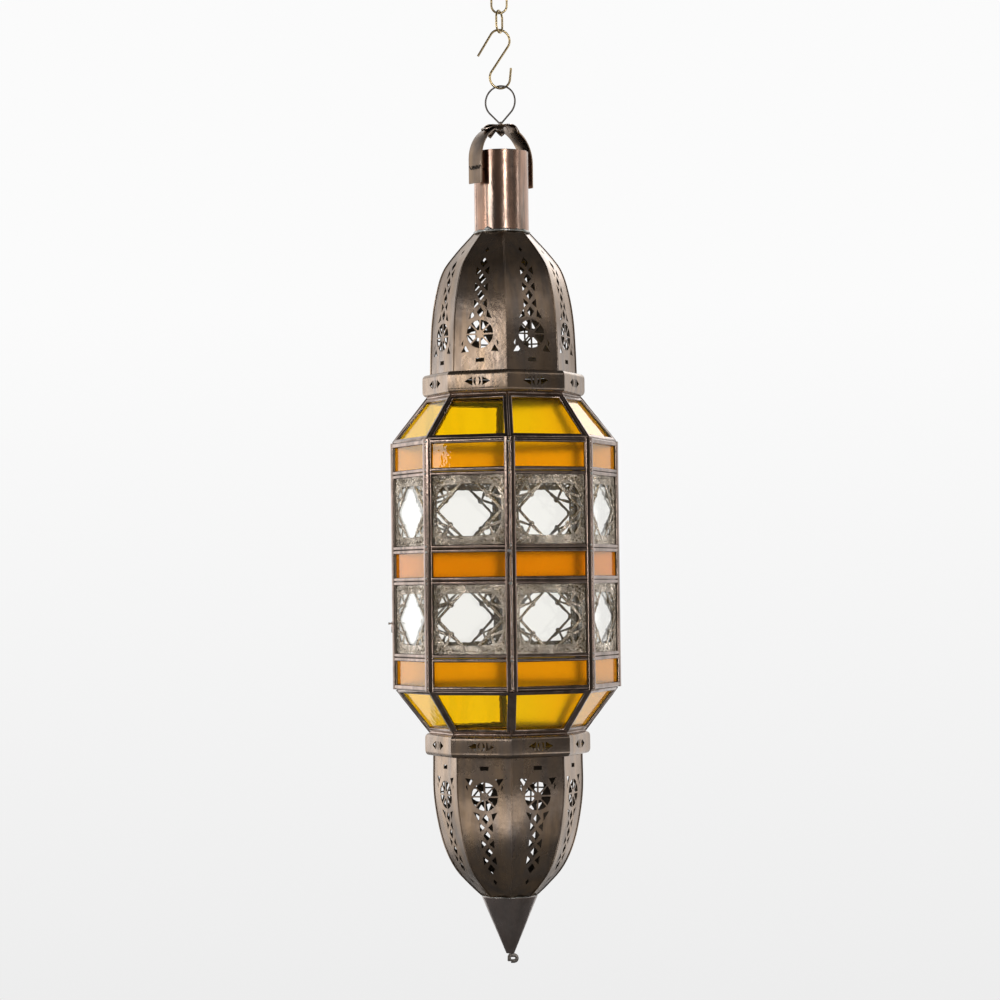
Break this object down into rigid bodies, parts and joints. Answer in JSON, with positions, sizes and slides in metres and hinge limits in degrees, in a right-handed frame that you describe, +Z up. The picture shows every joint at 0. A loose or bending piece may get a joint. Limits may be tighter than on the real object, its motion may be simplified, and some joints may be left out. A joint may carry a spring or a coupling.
{
  "type": "hanging candle lantern",
  "caption": "Tall octagonal hanging candle lantern of pierced antique bronze with amber and clear glass panes, domed top and bottom, strap bail, S-hook and chain",
  "frame": {"origin": "Inside of the top of the top chain link, at the point where a ceiling hook would carry it, on the lantern's vertical axis.", "axes": "+Z up along the hanging axis; -Y points at one corner of the octagon; the door is on the face between -X and +Y, next to the -X corner."},
  "size_m": [0.2323, 0.2284, 0.9933],
  "materials": {
    "polished_brass": "satin",
    "dark_wire": "satin",
    "antique_bronze": "satin",
    "pierced_bronze": "satin",
    "yellow_glass": "gloss",
    "amber_glass": "gloss",
    "orange_glass": "gloss",
    "clear_glass": "gloss"
  },
  "bodies": {
    "top_link": {"chain_link_top": "polished_brass"},
    "upper_link": {"chain_link_upper": "polished_brass"},
    "lower_link": {"chain_link_lower": "polished_brass"},
    "hook": {"s_hook": "polished_brass"},
    "ring": {"hanging_ring": "dark_wire"},
    "bail": {"bail_strap": "antique_bronze", "bail_rosette": "antique_bronze", "bail_pin": "dark_wire"},
    "lantern": {"neck_tube": "antique_bronze", "upper_dome": "antique_bronze", "upper_collar": "antique_bronze", "shoulder_frame": "antique_bronze", "shoulder_glass": "yellow_glass", "face_frame_1": "antique_bronze", "face_frame_2": "antique_bronze", "face_frame_3": "antique_bronze", "face_frame_4": "antique_bronze", "face_frame_5": "antique_bronze", "face_frame_6": "antique_bronze", "face_frame_7": "antique_bronze", "window_sheet_upper_1": "pierced_bronze", "window_sheet_upper_2": "pierced_bronze", "window_sheet_upper_3": "pierced_bronze", "window_sheet_upper_4": "pierced_bronze", "window_sheet_upper_5": "pierced_bronze", "window_sheet_upper_6": "pierced_bronze", "window_sheet_upper_7": "pierced_bronze", "window_sheet_lower_1": "pierced_bronze", "window_sheet_lower_2": "pierced_bronze", "window_sheet_lower_3": "pierced_bronze", "window_sheet_lower_4": "pierced_bronze", "window_sheet_lower_5": "pierced_bronze", "window_sheet_lower_6": "pierced_bronze", "window_sheet_lower_7": "pierced_bronze", "upper_amber_panes": "amber_glass", "upper_clear_panes": "clear_glass", "middle_orange_panes": "orange_glass", "lower_clear_panes": "clear_glass", "lower_amber_panes": "amber_glass", "hip_frame": "antique_bronze", "hip_glass": "yellow_glass", "lower_collar": "antique_bronze", "lower_dome": "antique_bronze", "finial_cone": "antique_bronze", "finial_knob": "dark_wire", "candle_plate": "antique_bronze", "candle_cup": "antique_bronze", "door_hinge_pin_upper": "dark_wire", "door_hinge_pin_lower": "dark_wire"},
    "door": {"door_frame": "antique_bronze", "door_upper_amber_pane": "amber_glass", "door_upper_clear_pane": "clear_glass", "door_middle_orange_pane": "orange_glass", "door_lower_clear_pane": "clear_glass", "door_lower_amber_pane": "amber_glass", "door_sheet_upper": "pierced_bronze", "door_sheet_lower": "pierced_bronze"},
    "latch": {"door_latch": "antique_bronze"}
  },
  "joints": [
    {"name": "upper_link_swing", "type": "hinge", "parent": "top_link", "child": "upper_link", "pos_m": [0, 0, -0.0209], "axis": [0, 1, 0], "range_deg": [-60, 60]},
    {"name": "lower_link_swing", "type": "hinge", "parent": "upper_link", "child": "lower_link", "pos_m": [0, 0, -0.0404], "axis": [1, 0, 0], "range_deg": [-60, 60]},
    {"name": "hook_swing", "type": "hinge", "parent": "lower_link", "child": "hook", "pos_m": [0, 0, -0.0599], "axis": [0.4226, 0.9063, 0], "range_deg": [-60, 60]},
    {"name": "ring_swing", "type": "hinge", "parent": "hook", "child": "ring", "pos_m": [0, 0, -0.11645], "axis": [0.9659, 0.2588, 0], "range_deg": [-30, 30]},
    {"name": "bail_swivel", "type": "hinge", "parent": "ring", "child": "bail", "pos_m": [0, 0, -0.156], "axis": [0, 0, 1], "continuous": true},
    {"name": "bail_pivot", "type": "hinge", "parent": "bail", "child": "lantern", "pos_m": [0, 0, -0.1997], "axis": [0.766, 0.6428, 0], "range_deg": [-100, 100]},
    {"name": "door_hinge", "type": "hinge", "parent": "lantern", "child": "door", "pos_m": [-0.08266, 0.08266, -0.5962], "axis": [0, 0, -1], "range_deg": [0, 110]},
    {"name": "latch_turn", "type": "hinge", "parent": "door", "child": "latch", "pos_m": [-0.11372, 0.00396, -0.6525], "axis": [0.9239, -0.3827, 0], "range_deg": [0, 270]}
  ]
}
